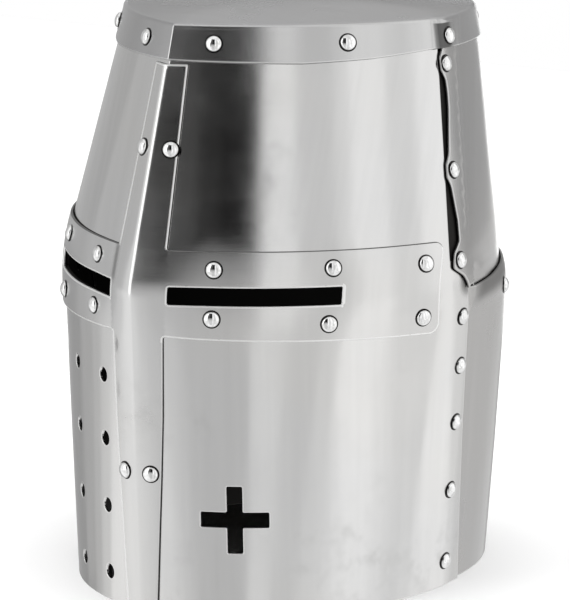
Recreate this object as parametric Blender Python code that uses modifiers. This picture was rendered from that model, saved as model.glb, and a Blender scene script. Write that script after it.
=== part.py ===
"""Great helm: a riveted shell of five steel plates with a cross-shaped reinforcement over the face.

Frame: +Z up, the keel of the face looks along -Y, +X is the wearer's left. Lengths in this file are
millimetres and become metres where a mesh is made. A place on the shell is given by its arc length
round the helm from the keel (positive to the wearer's left), its height and its offset outwards.
"""

import functools
import math

import bmesh
import bpy
import numpy as np
from mathutils import Matrix, Vector

MM = 0.001

SHEET = 1.5  # thickness of every plate
GAP = 0.35  # clearance between two pieces
LEAN = 0.965  # cosine of the wall's lean, which a horizontal offset has to allow for
LAYER = SHEET / LEAN + GAP  # offset from one plate's outer face to the next one's

# Horizontal sections of the shell. keel and rear are distances along Y, centre is the Y of the widest
# point, corner is the angle on the rear ellipse where the face panels end, bulge is their sagitta.
SECTION_COLUMNS = ("height", "keel", "half_width", "rear", "centre", "corner", "bulge")
SECTIONS = np.array(
    [
        (0.0, 119.1, 99.0, 127.4, 1.9, -13.0, 22.0),
        (167.0, 125.1, 117.5, 124.4, -10.1, -3.0, 19.5),
        (315.0, 81.6, 89.0, 103.4, 11.4, -2.0, 13.0),
    ]
)
SAMPLES = 96  # points along each of a section's two curves

CAP_EDGE = 291.0  # height where the cap's rim starts to bend over
CAP_BEND = 4.0  # radius of that bend
CAP_DISH = 6.0  # rise of the cap's middle over its bent edge
CAP_EASE = 0.15  # extra clearance over the rear plate
CAP_RIM = ((0.0, 277.2), (65.0, 276.0), (100.0, 277.2), (137.0, 280.0), (160.0, 279.5), (320.0, 279.0))

PLATE_TOP = 289.0  # top edge of the wall plates, inside the cap
PANEL_END = 16.0  # how far the face plate runs on behind its corner
FLANGE_SLOPE = 0.06  # how quickly that flange falls inwards
FRONT_EDGE = ((0.0, 191.0), (41.0, 188.0), (88.0, 185.5), (140.0, 184.0), (160.0, 182.5), (176.0, 177.4))
TURN = (150.0, 176.0)  # heights between which the overlap of the side seam changes over

REAR_LOWER_BACK = (
    (0.0, 1.6), (60.0, 2.4), (110.0, 2.7), (142.0, 2.9), (150.0, 2.5), (158.0, 1.6), (164.0, 0.2), (178.0, -0.4),
)
REAR_UPPER_BACK = (
    (144.0, 1.0), (158.0, -0.4), (164.0, -1.7), (169.0, -1.9), (178.0, -1.7), (187.0, -1.3), (201.0, -0.9),
    (228.0, -0.2), (258.0, 0.9), (271.0, 1.3), (280.0, 1.1), (290.0, 0.6),
)
SCALLOP = (
    (172.0, 7.0), (180.0, 8.0), (186.0, 8.6), (195.0, 8.0), (204.0, 5.6), (212.0, 3.6), (228.0, 3.2),
    (240.0, 4.4), (250.0, 5.4), (258.0, 5.2), (266.0, 3.8), (276.0, 2.8), (290.0, 2.4),
)
TABS = ((176.0, 5.0, 6.5), (220.0, 2.6, 6.0), (272.0, 2.4, 6.0))  # height, reach forward, half height
TIP = (181.0, 160.5)  # lowest front point of the upper rear plate: arc, height
BACK_SHARES = (0.0, 0.015, 0.045, 0.08, 0.15, 0.225, 0.3, 0.375, 0.45, 0.525, 0.6, 0.675, 0.75, 0.825, 0.9, 0.965)

STRIP_HALF = ((0.0, 9.0), (40.0, 11.2), (70.0, 13.0), (103.0, 14.6), (143.0, 15.6), (187.0, 14.8), (276.0, 9.8))
STRIP_TOP = 275.4
STRIP_RIDGE = ((0.0, 2.4), (167.0, 1.6), (276.0, 1.5))  # how far the ridge stands off its own edges
BAR_END = 158.0
BAR_TOP = 186.7
BAR_LOW = (143.8, 140.9)  # lower edge of the bar at the keel and at its end
BAR_CORNER = 6.0
SLIT = (18.0, 104.0, 160.2, 169.0)  # eye slit: arc from, arc to, lower and upper height

CROSS_CENTRE = (49.8, 51.0)
CROSS_SPAN = 34.6
CROSS_ARM = 7.9
BREATH_RADIUS = 3.75
BREATH_COLUMNS = (0.183, 0.400)  # share of the panel's width
BREATH_ROWS = (15.0, 50.0, 84.9, 117.8)

HEAD_RADIUS = 4.0
HEAD_HEIGHT = 3.3
SHANK_RADIUS = 1.9
TAIL_RADIUS = 2.8
TAIL_HEIGHT = 0.9
TAIL_GAP = 0.55
RIDGE_GAP = 0.6  # more of it where the keel strip slopes away from the plate under it
RIVET_SIDES = 8

CAP_RIVETS = (21.0, 87.0, 142.8, 222.0, 292.6, -24.0, -89.5, -142.8, -222.0)
CAP_RIVET_HEIGHT = 285.6
KEEL_RIVETS = ((8.6, 234.6), (-7.2, 234.6), (8.0, 73.1), (-6.6, 73.1))
BAR_RIVETS_UPPER = ((39.3, 177.8), (98.0, 178.2), (148.0, 176.9), (-35.2, 178.2), (-87.0, 179.4), (-148.0, 177.0))
BAR_RIVETS_LOWER = ((40.0, 153.7), (97.8, 150.8), (148.4, 150.0), (-35.4, 152.6), (-85.5, 151.0), (-148.4, 150.0))
UPPER_SIDE_RIVETS = ((145.0, 272.0), (158.9, 219.9), (171.4, 175.7))
LOWER_SIDE_RIVETS = ((177.8, 146.0), (178.4, 119.8), (177.7, 89.6), (176.7, 52.9), (175.8, 13.8))
BROW_RIVETS = ((238.0, 151.0), (290.0, 152.0), (335.0, 153.0))


def along(table, at):
    """Value at a place in a small table of (place, value) rows, straight between rows."""
    return float(np.interp(at, [row[0] for row in table], [row[1] for row in table]))


def smooth(value, low, high):
    """0 below low, 1 above high, with a soft start and end."""
    t = min(max((value - low) / (high - low), 0.0), 1.0)
    return t * t * (3.0 - 2.0 * t)


@functools.lru_cache(maxsize=None)
def section(height):
    """Points, outward normals and arc lengths of the half section on the wearer's left."""
    i = 0 if height < SECTIONS[1, 0] else 1
    t = (height - SECTIONS[i, 0]) / (SECTIONS[i + 1, 0] - SECTIONS[i, 0])
    keel, width, rear, centre, corner, bulge = SECTIONS[i, 1:] * (1 - t) + SECTIONS[i + 1, 1:] * t
    start = math.radians(corner)
    nose = np.array([0.0, -keel])
    chord = np.array([width * math.cos(start), centre + (rear - centre) * math.sin(start)]) - nose
    out = np.array([chord[1], -chord[0]]) / np.hypot(*chord)
    u = np.linspace(0.0, 1.0, SAMPLES)[:, None]
    panel = nose + u * chord + 4 * bulge * u * (1 - u) * out
    panel_run = chord + 4 * bulge * (1 - 2 * u) * out
    a = np.linspace(start, math.pi / 2, SAMPLES)[:, None]
    back = np.hstack([width * np.cos(a), centre + (rear - centre) * np.sin(a)])
    back_run = np.hstack([-width * np.sin(a), (rear - centre) * np.cos(a)])
    runs = [r / np.linalg.norm(r, axis=1)[:, None] for r in (panel_run, back_run)]
    normals = [np.stack([r[:, 1], -r[:, 0]], axis=1) for r in runs]
    normals[0][0] = (0.0, -1.0 / -normals[0][0][1])
    normals[0][-1] = (normals[0][-1] + normals[1][0]) / 2
    points = np.vstack([panel, back[1:]])
    arc = np.append(0.0, np.cumsum(np.hypot(*np.diff(points, axis=0).T)))
    return points, np.vstack([normals[0], normals[1][1:]]), arc


def corner_arc(height):
    """Arc length from the keel to the side corner at a height."""
    return section(height)[2][SAMPLES - 1]


def half_girth(height):
    """Arc length from the keel to the middle of the back at a height."""
    return section(height)[2][-1]


def on_shell(arc, height, offset=0.0):
    """The point in metres at an arc length, height and offset. An arc past the back comes round."""
    points, normals, arcs = section(round(height, 4))
    arc = (arc + arcs[-1]) % (2 * arcs[-1]) - arcs[-1]
    moved = points + offset * normals
    x, y = (np.interp(abs(arc), arcs, moved[:, k]) for k in (0, 1))
    return Vector((math.copysign(x, arc), y, height)) * MM


def front_offset(arc, height):
    """Outer face of the face plate: its flange falls in above the turn and spreads out below it."""
    upper = smooth(height, *TURN)
    flange = -FLANGE_SLOPE * max(0.0, abs(arc) - corner_arc(height))
    return flange * upper + smooth(abs(arc), 140.0, 182.0) * (1.0 - upper)


def rear_lower_offset(arc, height):
    """Outer face of the lower rear plate: under the face plate at its edge, over the upper one on top."""
    arc = abs(arc)
    back = along(REAR_LOWER_BACK, height)
    seam = front_offset(min(arc, 184.0), height) - LAYER
    wall = seam + (back - seam) * smooth(arc, 188.0, 236.0)
    lip = seam + (1.7 - seam) * smooth(arc, 184.0, 189.0)
    lip += (back - lip) * smooth(arc, 196.0, 236.0)
    return wall + (lip - wall) * smooth(height, 143.0, 157.0)


def rear_upper_offset(arc, height):
    """Outer face of the upper rear plate: over the face plate in front, under the lower one below."""
    arc = abs(arc)
    seam = front_offset(arc, height) + LAYER
    wall = seam + (along(REAR_UPPER_BACK, height) - seam) * smooth(arc - corner_arc(height), 12.0, 60.0)
    if height < 168.0 and arc > 188.0:
        return min(wall, rear_lower_offset(arc, height) - LAYER - 0.15)
    return wall


def cap_offset(arc, height):
    """Outer face of the cap's rim, which steps out behind the corner to clear the rear plate."""
    behind = smooth(abs(arc) - corner_arc(height), -4.0, 1.0)
    return LAYER + behind * (CAP_EASE + rear_upper_offset(max(abs(arc), corner_arc(height) + 1.0), min(height, 289.0)))


def cross_offset(arc, height):
    """Outer face of the reinforcement, with the ridge of its keel strip."""
    rise = max(0.0, 1.0 - abs(arc) / along(STRIP_HALF, height))
    return front_offset(arc, height) + LAYER + along(STRIP_RIDGE, height) * rise


def steel(name, colour, roughness):
    material = bpy.data.materials.new(name)
    material.use_nodes = True
    shader = material.node_tree.nodes["Principled BSDF"]
    shader.inputs["Base Color"].default_value = (*colour, 1.0)
    shader.inputs["Metallic"].default_value = 1.0
    shader.inputs["Roughness"].default_value = roughness
    return material


def linked(name, mesh, collection, material=None):
    thing = bpy.data.objects.new(name, mesh)
    collection.objects.link(thing)
    if material:
        mesh.materials.append(material)
    return thing


def sheet_mesh(name, rows, keep=lambda row, column: True, ring=False):
    """Open surface through rows of points that run along the arc, the lowest row first."""
    form = bmesh.new()
    grid = [[form.verts.new(point) for point in row] for row in rows]
    count = len(rows[0])
    for r in range(len(rows) - 1):
        for c in range(count if ring else count - 1):
            d = (c + 1) % count
            if keep(r, c):
                form.faces.new((grid[r][c], grid[r][d], grid[r + 1][d], grid[r + 1][c]))
    loose = [vert for vert in form.verts if not vert.link_faces]
    bmesh.ops.delete(form, geom=loose, context="VERTS")
    mesh = bpy.data.meshes.new(name)
    form.to_mesh(mesh)
    form.free()
    return mesh


def thicken(thing):
    """Gives an open surface its sheet thickness, inwards, and splits its faces into triangles."""
    shell = thing.modifiers.new("sheet", "SOLIDIFY")
    shell.thickness = SHEET * MM
    shell.offset = -1.0
    shell.use_even_offset = True
    thing.modifiers.new("facets", "TRIANGULATE")


def cut(thing, cutter):
    """Takes the cutter out of the thing."""
    knife = thing.modifiers.new(cutter.name, "BOOLEAN")
    knife.operation = "DIFFERENCE"
    knife.solver = "EXACT"
    knife.object = cutter


def steps(stops, counts):
    """Places from the first stop to the last one, with a number of equal steps between stops."""
    places = [stops[0]]
    for low, high, count in zip(stops, stops[1:], counts):
        places += [low + (high - low) * (k + 1) / count for k in range(count)]
    return places


def normal_frame(arc, height, offset_of):
    """Point on an outer face, and the turn that brings +Z onto its outward normal."""
    def at(a, h):
        return on_shell(a, h, offset_of(a, h))

    across = at(arc + 1.0, height) - at(arc - 1.0, height)
    up = at(arc, height + 1.0) - at(arc, height - 1.0)
    normal = across.cross(up).normalized()
    side = across.normalized()
    turn = Matrix((side, normal.cross(side), normal)).transposed()
    return at(arc, height), turn


# ---------------------------------------------------------------- plates


def front_edge(height):
    return along(FRONT_EDGE, height) if height < TURN[1] else corner_arc(height) + PANEL_END


def build_front_plate(collection, material):
    rows = []
    for height in (-1.5, 40.0, 80.0, 120.0, 144.0, 152.0, 160.0, 167.0, 174.0, 182.0, 205.0, 250.0, PLATE_TOP):
        corner = corner_arc(height)
        edge = front_edge(height)
        inner = steps((0.0, corner, edge), (13, 4))
        arcs = [-a for a in reversed(inner[1:])] + inner
        rows.append([on_shell(a, height, front_offset(a, height)) for a in arcs])
    plate = linked("front_plate", sheet_mesh("front_plate", rows), collection, material)
    thicken(plate)
    return plate


def scallop_edge(height):
    """Arc of the upper rear plate's front edge, with its rounded tabs round the rivets."""
    if height <= TIP[1]:
        return TIP[0] + 3.0 * (TIP[1] - height) / 15.5
    start = corner_arc(height) + along(SCALLOP, height)
    for tab_height, reach, half in TABS:
        start -= reach * smooth(abs(height - tab_height), half * 1.5, half * 0.4)
    fall = smooth(height, 173.0, TIP[1])
    return start + (TIP[0] - start) * fall


def rear_lower_top(arc, girth):
    """Height of the lower rear plate's top edge."""
    if arc < 183.0:
        return 156.0 + 4.0 * smooth(arc, 178.0, 183.0)
    return 160.0 + 5.0 * math.sin(math.pi / 2 * min(1.0, (arc - 181.0) / (girth - 181.0)))


def build_rear_upper(collection, material):
    """Rows follow the tabs of the front edge. The lower edge dives under the lower rear plate."""
    heights = (145.0, 153.0, 160.5, 163.0, 166.0, 169.0, 173.0, 177.0, 181.0, 187.0, 196.0, 206.0, 214.0,
               220.0, 226.0, 232.0, 240.0, 250.0, 259.0, 267.0, 277.0, PLATE_TOP)
    widest = half_girth(SECTIONS[1, 0])
    rows = []
    for height in heights:
        row = []
        for share in BACK_SHARES + tuple(2.0 - s for s in reversed(BACK_SHARES)):
            part = share if share <= 1.0 else 2.0 - share
            level = height
            if height <= TIP[1]:
                dive = smooth(part, 0.045, 0.15)
                rise = rear_lower_top(TIP[0] + part * (widest - TIP[0]), widest) + 1.7 - TIP[1]
                level = TIP[1] + (height - TIP[1]) * (0.06 + 0.94 * dive) + rise * (1.0 - dive)
            edge = scallop_edge(level)
            girth = half_girth(level)
            arc = edge + part * (girth - edge)
            signed = arc if share <= 1.0 else 2 * girth - arc
            row.append(on_shell(signed, level, rear_upper_offset(arc, level)))
        rows.append(row)
    plate = linked("rear_upper_plate", sheet_mesh("rear_upper_plate", rows), collection, material)
    thicken(plate)
    return plate


def build_rear_lower(collection, material):
    widest = half_girth(SECTIONS[1, 0])
    shares = (-2.0, -1.0) + BACK_SHARES
    rows = []
    for share_up in (0.0, 0.25, 0.5, 0.75, 0.86, 0.92, 0.96, 1.0):
        row = []
        for share in shares + tuple(2.0 - s for s in reversed(shares)):
            part = share if share <= 1.0 else 2.0 - share
            tuck = 6.5 * part
            arc = TIP[0] + (part * (widest - TIP[0]) if part > 0.0 else tuck)
            level = -1.5 + share_up * (rear_lower_top(arc, widest) + 1.5)
            girth = half_girth(level)
            arc = TIP[0] + (part * (girth - TIP[0]) if part > 0.0 else tuck)
            signed = arc if share <= 1.0 else 2 * girth - arc
            row.append(on_shell(signed, level, rear_lower_offset(arc, level)))
        rows.append(row)
    plate = linked("rear_lower_plate", sheet_mesh("rear_lower_plate", rows), collection, material)
    thicken(plate)
    return plate


def build_cap(collection, material):
    """Rim, bend and dished top as rings of points, closed by a fan in the middle."""
    corner_share = [k / 11 for k in range(12)]
    back_share = (0.02,) + BACK_SHARES[3:]

    def arcs(height):
        corner = corner_arc(height)
        girth = half_girth(height)
        half = [corner * s for s in corner_share] + [corner + (girth - corner) * s for s in back_share]
        return half + [girth] + [2 * girth - a for a in reversed(half[1:])]

    def ring(height, inset, lift=0.0):
        places = arcs(height)
        girth = half_girth(height)
        out = []
        for arc in places:
            near = arc if arc <= girth else 2 * girth - arc
            level = height if lift == 0.0 else along(CAP_RIM, near)
            out.append(on_shell(arc, level, cap_offset(near, level) - inset))
        return out

    rows = [ring(280.0, 0.0, lift=1.0), ring(CAP_EDGE, 0.0)]
    for turn in (30.0, 60.0, 90.0):
        angle = math.radians(turn)
        edge = ring(CAP_EDGE, CAP_BEND * (1.0 - math.cos(angle)))
        rows.append([p + Vector((0.0, 0.0, CAP_BEND * math.sin(angle) * MM)) for p in edge])
    middle = Vector((0.0, (rows[-1][0].y + rows[-1][len(rows[-1]) // 2].y) / 2, 0.0))
    rim = rows[-1]
    for share in (0.72, 0.4, 0.12):
        height = (CAP_EDGE + CAP_BEND + CAP_DISH * (1.0 - share * share)) * MM
        rows.append([Vector((middle.x + share * (p.x - middle.x), middle.y + share * (p.y - middle.y), height)) for p in rim])
    mesh = sheet_mesh("crown_cap", rows, ring=True)
    form = bmesh.new()
    form.from_mesh(mesh)
    hole = [edge for edge in form.edges if edge.is_boundary and edge.verts[0].co.z > CAP_EDGE * MM]
    bmesh.ops.contextual_create(form, geom=hole)
    form.to_mesh(mesh)
    form.free()
    cap = linked("crown_cap", mesh, collection, material)
    thicken(cap)
    return cap


def bar_level(arc, share):
    """Height at a share of the bar's width, with its end corners rounded."""
    arc = abs(arc)
    low = BAR_LOW[0] + (BAR_LOW[1] - BAR_LOW[0]) * arc / BAR_END
    past = max(0.0, arc - (BAR_END - BAR_CORNER))
    trim = BAR_CORNER - math.sqrt(max(0.0, BAR_CORNER**2 - past**2))
    return (low + trim) + share * (BAR_TOP - low - 2 * trim)


def build_face_cross(collection, material):
    """Keel strip and bar as one surface. The eye slits are left out of its faces."""
    slit_low, slit_top = ((z - BAR_LOW[0]) / (BAR_TOP - BAR_LOW[0]) for z in SLIT[2:])
    brow = (SECTIONS[1, 0] - BAR_LOW[0]) / (BAR_TOP - BAR_LOW[0])
    shares = (0.0, slit_low, brow, slit_top, 1.0)
    below = (-1.5, 35.0, 70.0, 105.0, 128.0, 137.0, 142.0)
    above = (188.5, 193.0, 215.0, 245.0, STRIP_TOP)
    half = steps((SLIT[0], SLIT[1], BAR_END - BAR_CORNER), (7, 4)) + [155.6, 157.6, BAR_END]
    strip = (-1.0, -0.5, 0.0, 0.5, 1.0)
    side = len(half) - 1
    rows = []
    for level in below + shares + above:
        in_bar = level in shares
        if in_bar:
            arcs = [-a for a in reversed(half[1:])] + [s * half[0] for s in strip] + half[1:]
            heights = [bar_level(a, level) for a in arcs]
        else:
            width = along(STRIP_HALF, level)
            flare = max(0.0, 7.0 - min(abs(level - BAR_LOW[0]), abs(level - BAR_TOP))) / 7.0
            width += (half[0] - width) * flare**2
            arcs = [s * width for s in strip]
            arcs = [arcs[0]] * side + arcs + [arcs[-1]] * side
            heights = [level] * len(arcs)
        rows.append([on_shell(a, h, cross_offset(a, h)) for a, h in zip(arcs, heights)])
    first = len(below)

    def keep(row, column):
        on_strip = side <= column < side + len(strip) - 1
        if on_strip:
            return True
        if not first <= row < first + len(shares) - 1:
            return False
        slit_columns = 7
        beside = column - (side + len(strip) - 1) if column >= side else side - 1 - column
        return not (row in (first + 1, first + 2) and beside < slit_columns)

    cross = linked("face_cross", sheet_mesh("face_cross", rows, keep), collection, material)
    thicken(cross)
    return cross


# ---------------------------------------------------------------- rivets and cutters


def rivet_mesh(grip):
    """Half outline of a rivet, from the top of its domed head to its hammered tail."""
    outline = (
        (0.0, HEAD_HEIGHT), (0.68 * HEAD_RADIUS, 0.72 * HEAD_HEIGHT), (HEAD_RADIUS, 0.0), (SHANK_RADIUS, 0.0),
        (SHANK_RADIUS, -grip), (TAIL_RADIUS, -grip), (0.0, -grip - TAIL_HEIGHT),
    )
    form = bmesh.new()
    verts = [form.verts.new((x * MM, 0.0, z * MM)) for x, z in outline]
    for pair in zip(verts, verts[1:]):
        form.edges.new(pair)
    mesh = bpy.data.meshes.new("rivet")
    form.to_mesh(mesh)
    form.free()
    return mesh


def build_rivet(name, place, outer, inner, collection, material, slack=0.0):
    """Rivet whose head lies on the outer face and whose tail lies inside the innermost plate."""
    arc, height = place
    point, turn = normal_frame(arc, height, outer)
    depth = (outer(arc, height) - inner(arc, height)) * LEAN + SHEET + GAP + TAIL_GAP + slack
    rivet = linked(name, rivet_mesh(depth), collection, material)
    rivet.matrix_world = Matrix.Translation(point + turn.col[2] * GAP * MM) @ turn.to_4x4()
    turned = rivet.modifiers.new("turned", "SCREW")
    turned.steps = RIVET_SIDES
    turned.render_steps = RIVET_SIDES
    turned.use_merge_vertices = True
    turned.merge_threshold = 0.00001
    return rivet


def add_prism(form, place, outer, radius, sides, reach):
    """Adds a prism through the wall, standing on the outer face's normal."""
    point, turn = normal_frame(*place, outer)
    frame = Matrix.Translation(point) @ turn.to_4x4()
    bmesh.ops.create_cone(
        form, cap_ends=True, segments=sides, radius1=radius * MM, radius2=radius * MM,
        depth=2 * reach * MM, matrix=frame @ Matrix.Rotation(rivet_phase(sides), 4, "Z"),
    )


def rivet_phase(sides):
    """Turns a prism's corners onto those of a turned shank, which start on its own X axis."""
    return math.pi / 2 if sides == RIVET_SIDES else 0.0


def add_ground(form):
    """Adds a block under the rim, which trims a plate to a flat lower edge."""
    frame = Matrix.Translation((0.0, 0.0, -0.01)) @ Matrix.Diagonal((0.4, 0.4, 0.02, 1.0))
    bmesh.ops.create_cube(form, size=1.0, matrix=frame)


def cutter(name, fill, collection):
    form = bmesh.new()
    fill(form)
    mesh = bpy.data.meshes.new(name)
    form.to_mesh(mesh)
    form.free()
    thing = linked(name, mesh, collection)
    thing.hide_render = True
    thing.display_type = "WIRE"
    return thing


def hole_cutter(name, holes, collection, ground=False):
    """One cutter with a prism for each rivet hole, and the block under the rim if asked for."""
    def fill(form):
        for place, outer in holes:
            add_prism(form, place, outer, SHANK_RADIUS + GAP, RIVET_SIDES, 8.0)
        if ground:
            add_ground(form)

    return cutter(name, fill, collection)


def breath_cutter(collection):
    """Two columns of round holes in the wearer's right cheek."""
    def fill(form):
        for column in BREATH_COLUMNS:
            for height in BREATH_ROWS:
                add_prism(form, (-column * corner_arc(height), height), front_offset, BREATH_RADIUS, 12, 6.0)

    return cutter("breath_cutter", fill, collection)


def slit_cutter(side, collection):
    """Block that follows the panel, a little larger than the slit in the reinforcement."""
    low, high = SLIT[0] - 0.5, SLIT[1] + 0.5
    places = steps((low, high), (7,))
    if side < 0:
        places = [-a for a in reversed(places)]

    def fill(form):
        sections = []
        for arc in places:
            corners = [(SLIT[2] - 0.5, 4.0), (SLIT[3] + 0.5, 4.0), (SLIT[3] + 0.5, -6.0), (SLIT[2] - 0.5, -6.0)]
            sections.append([form.verts.new(on_shell(arc, height, offset)) for height, offset in corners])
        for near, far in zip(sections, sections[1:]):
            for k in range(4):
                form.faces.new((near[k], far[k], far[(k + 1) % 4], near[(k + 1) % 4]))
        form.faces.new(sections[0])
        form.faces.new(reversed(sections[-1]))
        bmesh.ops.recalc_face_normals(form, faces=form.faces)

    return cutter("slit_cutter_left" if side > 0 else "slit_cutter_right", fill, collection)


def cross_cutter(collection):
    """Prism with the outline of the Greek cross."""
    arm, span = CROSS_ARM / 2, CROSS_SPAN / 2
    quarter = ((span, -arm), (span, arm), (arm, arm))
    point, turn = normal_frame(*CROSS_CENTRE, front_offset)
    frame = Matrix.Translation(point) @ turn.to_4x4()

    def fill(form):
        outline = []
        for k in range(4):
            spin = Matrix.Rotation(k * math.pi / 2, 4, "Z")
            outline += [frame @ spin @ Vector((x * MM, y * MM, -8.0 * MM)) for x, y in quarter]
        base = form.faces.new([form.verts.new(p) for p in outline])
        raised = bmesh.ops.extrude_face_region(form, geom=[base])["geom"]
        tops = [v for v in raised if isinstance(v, bmesh.types.BMVert)]
        bmesh.ops.translate(form, verts=tops, vec=turn.col[2] * 16.0 * MM)
        bmesh.ops.recalc_face_normals(form, faces=form.faces)

    return cutter("greek_cross_cutter", fill, collection)


def both_sides(places):
    return places + tuple((-arc, height) for arc, height in places)


def main():
    for thing in list(bpy.data.objects):
        bpy.data.objects.remove(thing)
    parts = bpy.data.collections.new("great_helm")
    cutters = bpy.data.collections.new("cutters")
    cutters.hide_render = True
    for collection in (parts, cutters):
        bpy.context.scene.collection.children.link(collection)

    plate_steel = steel("satin_steel", (0.62, 0.62, 0.63), 0.28)
    rivet_steel = steel("polished_steel", (0.72, 0.72, 0.73), 0.12)

    front = build_front_plate(parts, plate_steel)
    upper = build_rear_upper(parts, plate_steel)
    lower = build_rear_lower(parts, plate_steel)
    cap = build_cap(parts, plate_steel)
    cross = build_face_cross(parts, plate_steel)

    behind = tuple((arc, CAP_RIVET_HEIGHT) for arc in CAP_RIVETS if abs(arc) > 138.0)
    ahead = tuple((arc, CAP_RIVET_HEIGHT) for arc in CAP_RIVETS if abs(arc) <= 138.0)
    corner = tuple(place for place in behind if abs(place[0]) < 150.0)
    rear = tuple(place for place in behind if abs(place[0]) >= 150.0)
    groups = (
        ("cap_rivet", ahead, cap_offset, front_offset, (cap, front)),
        ("cap_corner_rivet", corner, cap_offset, front_offset, (cap, upper, front)),
        ("cap_rear_rivet", rear, cap_offset, rear_upper_offset, (cap, upper)),
        ("keel_rivet", KEEL_RIVETS, cross_offset, front_offset, (cross, front)),
        ("bar_upper_rivet", BAR_RIVETS_UPPER, cross_offset, front_offset, (cross, front)),
        ("bar_lower_rivet", BAR_RIVETS_LOWER, cross_offset, front_offset, (cross, front)),
        ("upper_side_rivet", both_sides(UPPER_SIDE_RIVETS), rear_upper_offset, front_offset, (upper, front)),
        ("lower_side_rivet", both_sides(LOWER_SIDE_RIVETS), front_offset, rear_lower_offset, (front, lower)),
        ("brow_rivet", both_sides(BROW_RIVETS), rear_lower_offset, rear_upper_offset, (lower, upper)),
    )
    holes = {plate.name: [] for plate in (front, upper, lower, cap, cross)}
    for name, places, outer, inner, plates in groups:
        for number, place in enumerate(places, 1):
            slack = RIDGE_GAP if name == "keel_rivet" else 0.0
            build_rivet(f"{name}_{number}", place, outer, inner, parts, rivet_steel, slack)
            for plate in plates:
                holes[plate.name].append((place, outer))

    for plate in (front, upper, lower, cap, cross):
        on_rim = plate in (front, lower, cross)
        cut(plate, hole_cutter(f"{plate.name}_holes", holes[plate.name], cutters, ground=on_rim))
    for knife in (slit_cutter(1, cutters), slit_cutter(-1, cutters), cross_cutter(cutters), breath_cutter(cutters)):
        cut(front, knife)


main()
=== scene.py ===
"""Great helm: satin steel plates riveted into a closed helm, standing on its rim in a pale studio.

Frame: metres, +Z up, the keel of the face looks along -Y, +X is the wearer's left. Sizes in this file
are millimetres. A place on the helm is its arc length round the shell from the keel (positive to the
wearer's left), its height and its offset outwards from the shell.
"""

import math

import bpy
import numpy as np
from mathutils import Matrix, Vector
from mathutils.geometry import delaunay_2d_cdt
from mathutils.kdtree import KDTree


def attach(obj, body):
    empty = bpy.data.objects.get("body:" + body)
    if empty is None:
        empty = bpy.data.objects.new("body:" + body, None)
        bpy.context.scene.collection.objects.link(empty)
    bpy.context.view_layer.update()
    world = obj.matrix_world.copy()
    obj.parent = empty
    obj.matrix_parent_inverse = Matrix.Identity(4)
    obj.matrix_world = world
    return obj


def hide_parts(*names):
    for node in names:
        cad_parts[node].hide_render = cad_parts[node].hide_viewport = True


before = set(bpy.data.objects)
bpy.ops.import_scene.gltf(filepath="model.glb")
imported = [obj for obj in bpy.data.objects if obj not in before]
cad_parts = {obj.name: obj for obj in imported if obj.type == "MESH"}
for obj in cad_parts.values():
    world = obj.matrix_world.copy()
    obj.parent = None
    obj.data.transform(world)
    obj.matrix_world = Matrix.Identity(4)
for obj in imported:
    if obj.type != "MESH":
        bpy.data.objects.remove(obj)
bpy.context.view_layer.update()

# ======== face plate
# The sheet that wraps the face from ear to ear, raised to a keel in front and bent back behind the
# cheeks. It is 1.5 mm steel, cut out for the eyes, the breath and a cross, then ground satin. All the
# other plates are riveted to it, so the shape of the whole shell is set out here.

MM = 0.001
SHEET = 1.5  # plate thickness
LAYER = 1.9  # from one plate's outer face to the outer face of the plate over it
BURR = 0.3  # rounding of the inner edges

# Horizontal sections of the shell, as height, keel, half width, rear, centre, corner and bulge. Keel and
# rear are distances along Y, centre is the Y of the widest point, corner the angle on the rear ellipse
# where the cheeks end, and bulge how far a cheek stands out of its chord.
SHELL = np.array(
    [
        (0, 119.1, 99, 127.4, 1.9, -13, 22),
        (167, 125.1, 117.5, 124.4, -10.1, -3, 19.5),
        (315, 81.6, 89, 103.4, 11.4, -2, 13),
    ]
)
ARC_FROM, ARC_TO, ARC_STEP = -400.0, 640.0, 0.5
SHELL_FROM, SHELL_TO = -1.0, 297.0
CORNER_FOLD = (1, 6)  # half the length over which the cheek turns to the side, above and below the brow
FOLD_CHANGE = (120, 180)  # heights between which the one goes over into the other
FOLD_REACH = (45, 20)  # distances from the corner where that turn begins and is full
BROW_FOLD = 5  # half the height over which the wall turns at the brow, at the keel
BROW_SWEEP = 32  # the same beside the keel
SIDE_SWEEP = 15  # the same at the sides and the back
SWEEP_CHANGE = (125, 75)  # arcs from the keel between which the side's turn goes over into the cheek's
KEEL_CHANGE = (8, 40)  # and the keel's into the cheek's
CHEEK_POINTS = 700


def half_section(height):
    """Dense half outline of the shell on the wearer's left, and the arc length of the cheek's corner."""
    i = int(height >= SHELL[1, 0])
    t = (height - SHELL[i, 0]) / (SHELL[i + 1, 0] - SHELL[i, 0])
    keel, width, rear, centre, corner, bulge = SHELL[i, 1:] * (1 - t) + SHELL[i + 1, 1:] * t
    start = math.radians(corner)
    nose = np.array([0.0, -keel])
    chord = np.array([width * math.cos(start), centre + (rear - centre) * math.sin(start)]) - nose
    out = np.array([chord[1], -chord[0]]) / np.hypot(*chord)
    u = np.linspace(0.0, 1.0, CHEEK_POINTS)[:, None]
    cheek = nose + u * chord + 4 * bulge * u * (1 - u) * out
    a = np.linspace(start, math.pi / 2, CHEEK_POINTS)[1:, None]
    back = np.hstack([width * np.cos(a), centre + (rear - centre) * np.sin(a)])
    points = np.vstack([cheek, back])
    arc = np.append(0.0, np.cumsum(np.hypot(*np.diff(points, axis=0).T)))
    return points, arc, arc[CHEEK_POINTS - 1]


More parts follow.
